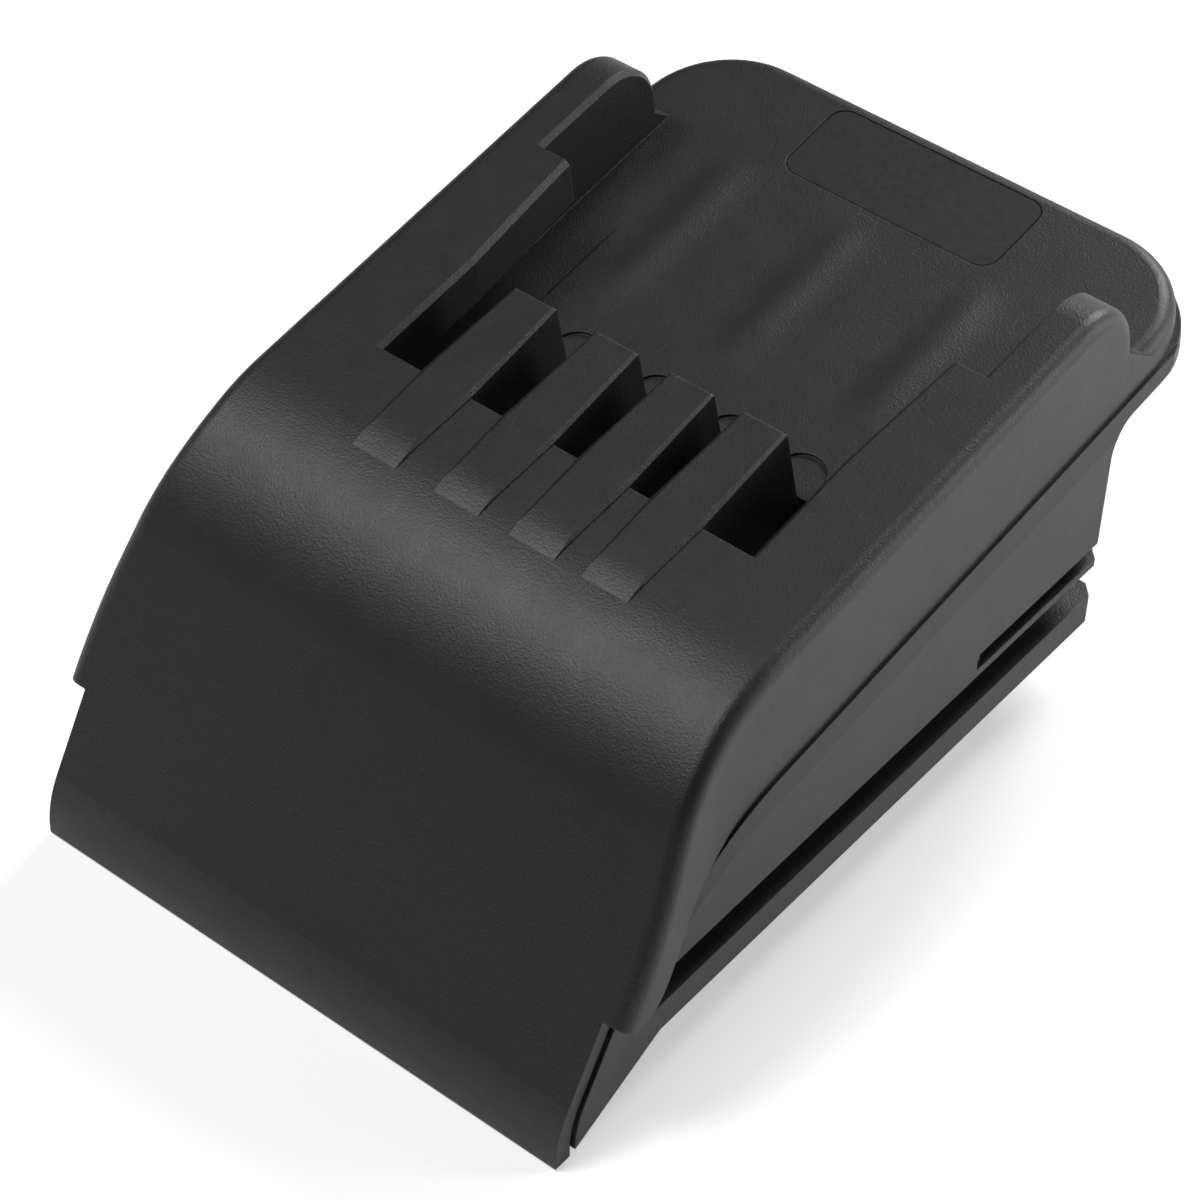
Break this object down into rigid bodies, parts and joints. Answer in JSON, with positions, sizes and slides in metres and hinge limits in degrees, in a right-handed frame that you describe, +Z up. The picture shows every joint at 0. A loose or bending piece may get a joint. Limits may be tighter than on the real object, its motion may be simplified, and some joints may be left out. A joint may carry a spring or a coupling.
{
  "type": "battery charging dock",
  "caption": "Sloping charging dock for a slide-on tool battery: railed bay with contact fingers on top, foot flanges with slide grooves and blade slots below.",
  "frame": {"origin": "on the plane of the foot flanges, below the front edge of the battery pocket, midway across", "axes": "+X to the right seen from the front lip, +Y towards the rear ledge where the battery enters, +Z up"},
  "size_m": [0.0804, 0.1184, 0.0545],
  "materials": {
    "shell_plastic": "fine spark-eroded grain",
    "block_plastic": "plain moulded",
    "contact_metal": "tin plated",
    "screw_steel": "zinc plated",
    "board_laminate": "solder mask",
    "component_body": "moulded",
    "label_film": "smooth film"
  },
  "bodies": {
    "root": {"base_housing": "shell_plastic", "battery_contact_data": "contact_metal", "battery_contact_negative": "contact_metal", "battery_contact_positive": "contact_metal", "battery_contact_thermal": "contact_metal", "blocking_diode": "component_body", "board_fuse": "component_body", "board_screws": "screw_steel", "case_screws": "screw_steel", "circuit_board": "board_laminate", "contact_carrier": "block_plastic", "filter_capacitor": "component_body", "id_resistor": "component_body", "output_block": "block_plastic", "output_contact_data": "contact_metal", "output_contact_negative": "contact_metal", "output_contact_positive": "contact_metal", "output_contact_thermal": "contact_metal", "rating_label": "label_film", "top_housing": "shell_plastic"}
  },
  "joints": []
}
